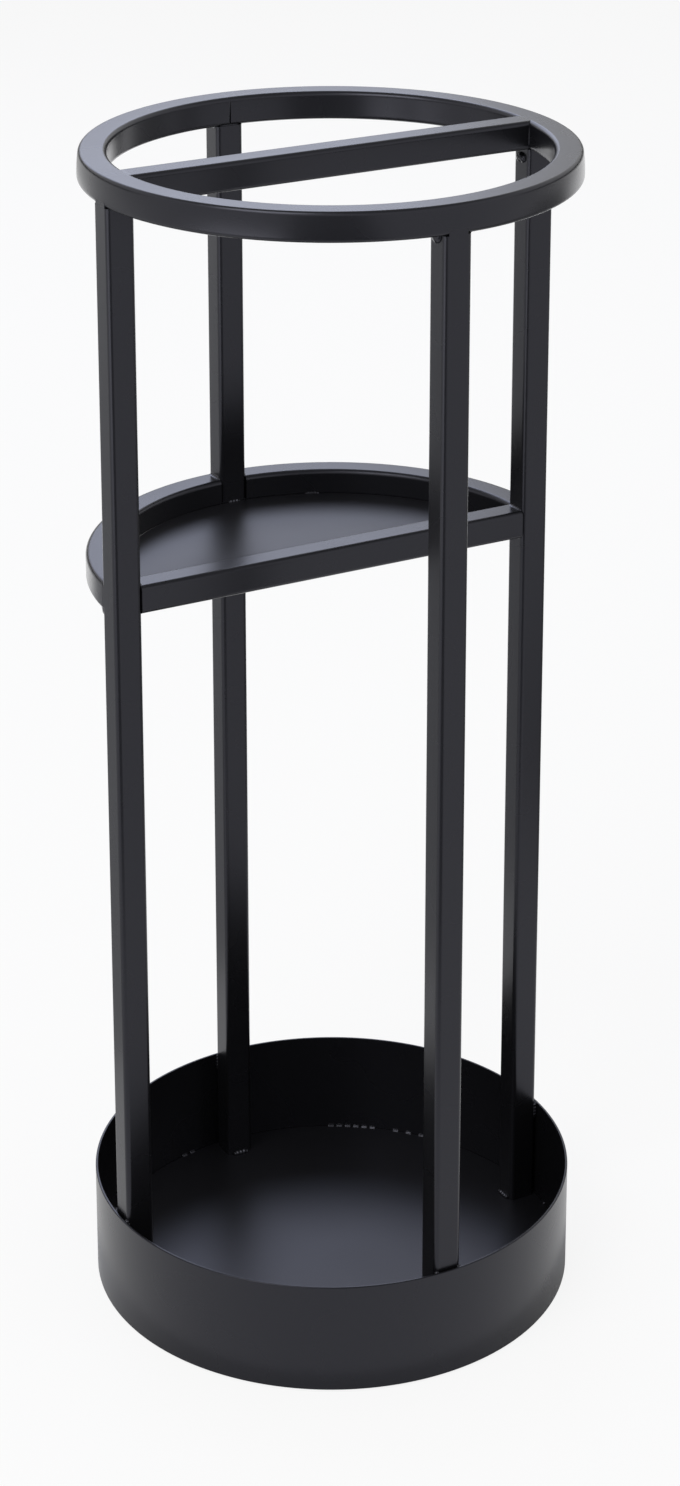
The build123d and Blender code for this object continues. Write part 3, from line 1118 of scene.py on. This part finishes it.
def matt_board(bm, name, colour):
    """Makes a prop that reflections alone see."""
    skin, tree = new_tree(f"{name}, matt board")
    board = add_node(
        tree, "ShaderNodeBsdfPrincipled", inputs={"Base Color": linear(colour), **MATT}
    )
    add_node(tree, "ShaderNodeOutputMaterial", inputs={"Surface": board.outputs["BSDF"]})
    mesh = bpy.data.meshes.new(name)
    bm.to_mesh(mesh)
    bm.free()
    mesh.materials.append(skin)
    prop = bpy.data.objects.new(name, mesh)
    prop.visible_camera = False
    prop.visible_diffuse = False
    prop.visible_shadow = False
    bpy.context.scene.collection.objects.link(prop)
    print("made", name)


def grey_card(name, colour, wide, long, heading, reach, level, slope=0):
    """A card with its middle out along a heading, at that level."""
    sheet = bmesh.new()
    bmesh.ops.create_grid(sheet, x_segments=1, y_segments=1, size=0.5)
    bmesh.ops.scale(sheet, verts=sheet.verts, vec=(long, wide, 1))
    tilted = Matrix.Rotation(-radians(slope), 3, "Y")
    bmesh.ops.rotate(sheet, verts=sheet.verts, matrix=tilted)
    bmesh.ops.translate(sheet, verts=sheet.verts, vec=(reach, 0, level))
    turned = Matrix.Rotation(radians(heading), 3, "Z")
    bmesh.ops.rotate(sheet, verts=sheet.verts, matrix=turned)
    matt_board(sheet, name, colour)


print("matt board:", MATT)

# %% Set the cards
LENS_CARD_GREY = "#a4a4a4"
FLOOR_CARD_GREY = "#cccccc"
SIDE_CARD_GREY = "#b0b0b0"
CARD_RISE = 0.004

grey_card(
    "lens_card",
    LENS_CARD_GREY,
    wide=0.5,
    long=1.05,
    heading=VIEW_HEADING + 180,
    reach=0.78,
    level=0.38,
    slope=45,
)
grey_card(
    "floor_card", FLOOR_CARD_GREY, wide=0.5, long=1.5, heading=119, reach=1.0, level=CARD_RISE
)
grey_card(
    "side_card", SIDE_CARD_GREY, wide=0.9, long=2.2, heading=-5, reach=1.45, level=CARD_RISE
)

# %% [markdown]
# Two more props are seen by reflections alone. The floor glows right up to the pan, which
# would light the foot of its wall, so a disc of plain board lies there and the wall mirrors
# the shadow on it. Far behind stands a low dark fence. The edges that turn away from the
# camera mirror it, below the softbox, as a thin dark line.

# %% Shade and fence
SHADE_MARGIN = 12 * MM
SHADE_RISE = 0.4 * MM
FENCE_GREY = "#202020"
FENCE_RADIUS = 2.4
FENCE_BOTTOM = 0.42
FENCE_TOP = 0.80
FENCE_SPREAD = 89

shade = bmesh.new()
bmesh.ops.create_circle(
    shade, cap_ends=True, segments=FLOOR_SIDES, radius=PAN_OUTER + SHADE_MARGIN
)
bmesh.ops.translate(shade, verts=shade.verts, vec=UP * SHADE_RISE)
matt_board(shade, "shadow_card", ROOM_WHITE)

fence = bmesh.new()
bmesh.ops.create_circle(fence, segments=FLOOR_SIDES, radius=FENCE_RADIUS)
bmesh.ops.translate(fence, verts=fence.verts, vec=UP * FENCE_BOTTOM)
drawn = bmesh.ops.extrude_edge_only(fence, edges=fence.edges[:])
raised = [part for part in drawn["geom"] if isinstance(part, bmesh.types.BMVert)]
bmesh.ops.translate(fence, verts=raised, vec=UP * (FENCE_TOP - FENCE_BOTTOM))
cut(fence, (0, 0, 0), tangent(VIEW_HEADING + FENCE_SPREAD))
cut(fence, (0, 0, 0), -tangent(VIEW_HEADING - FENCE_SPREAD))
matt_board(fence, "back_flags", FENCE_GREY)

# %% [markdown]
# The camera stands in front of the stand, to the left of the shelf's bar, and looks down on
# it. In the photograph the posts stand nearly upright although the pan is seen from well
# above, as a shift lens draws them, so the lens is shifted part of that way: as far as the
# whole stand still fits the frame when the camera walks round it.

# %% Camera
CAMERA_PLACE = (-616.9 * MM, -1144.3 * MM, 835.0 * MM)
CAMERA_DOWN = 17.74
CAMERA_HEADING = -28.49
SENSOR_MM = 36.0
LENS_MM = 82.60
LENS_SHIFT = -0.271

lens = bpy.data.cameras.new("studio camera")
lens.sensor_width = SENSOR_MM
lens.lens = LENS_MM
lens.shift_y = LENS_SHIFT
camera = bpy.data.objects.new("studio camera", lens)
camera.location = CAMERA_PLACE
camera.rotation_euler = (radians(90 - CAMERA_DOWN), 0, radians(CAMERA_HEADING))
bpy.context.scene.collection.objects.link(camera)
bpy.context.scene.camera = camera
bpy.context.scene.view_settings.view_transform = "Standard"
print("camera", round((camera.location - STAND_MIDDLE).length, 3), "m away")
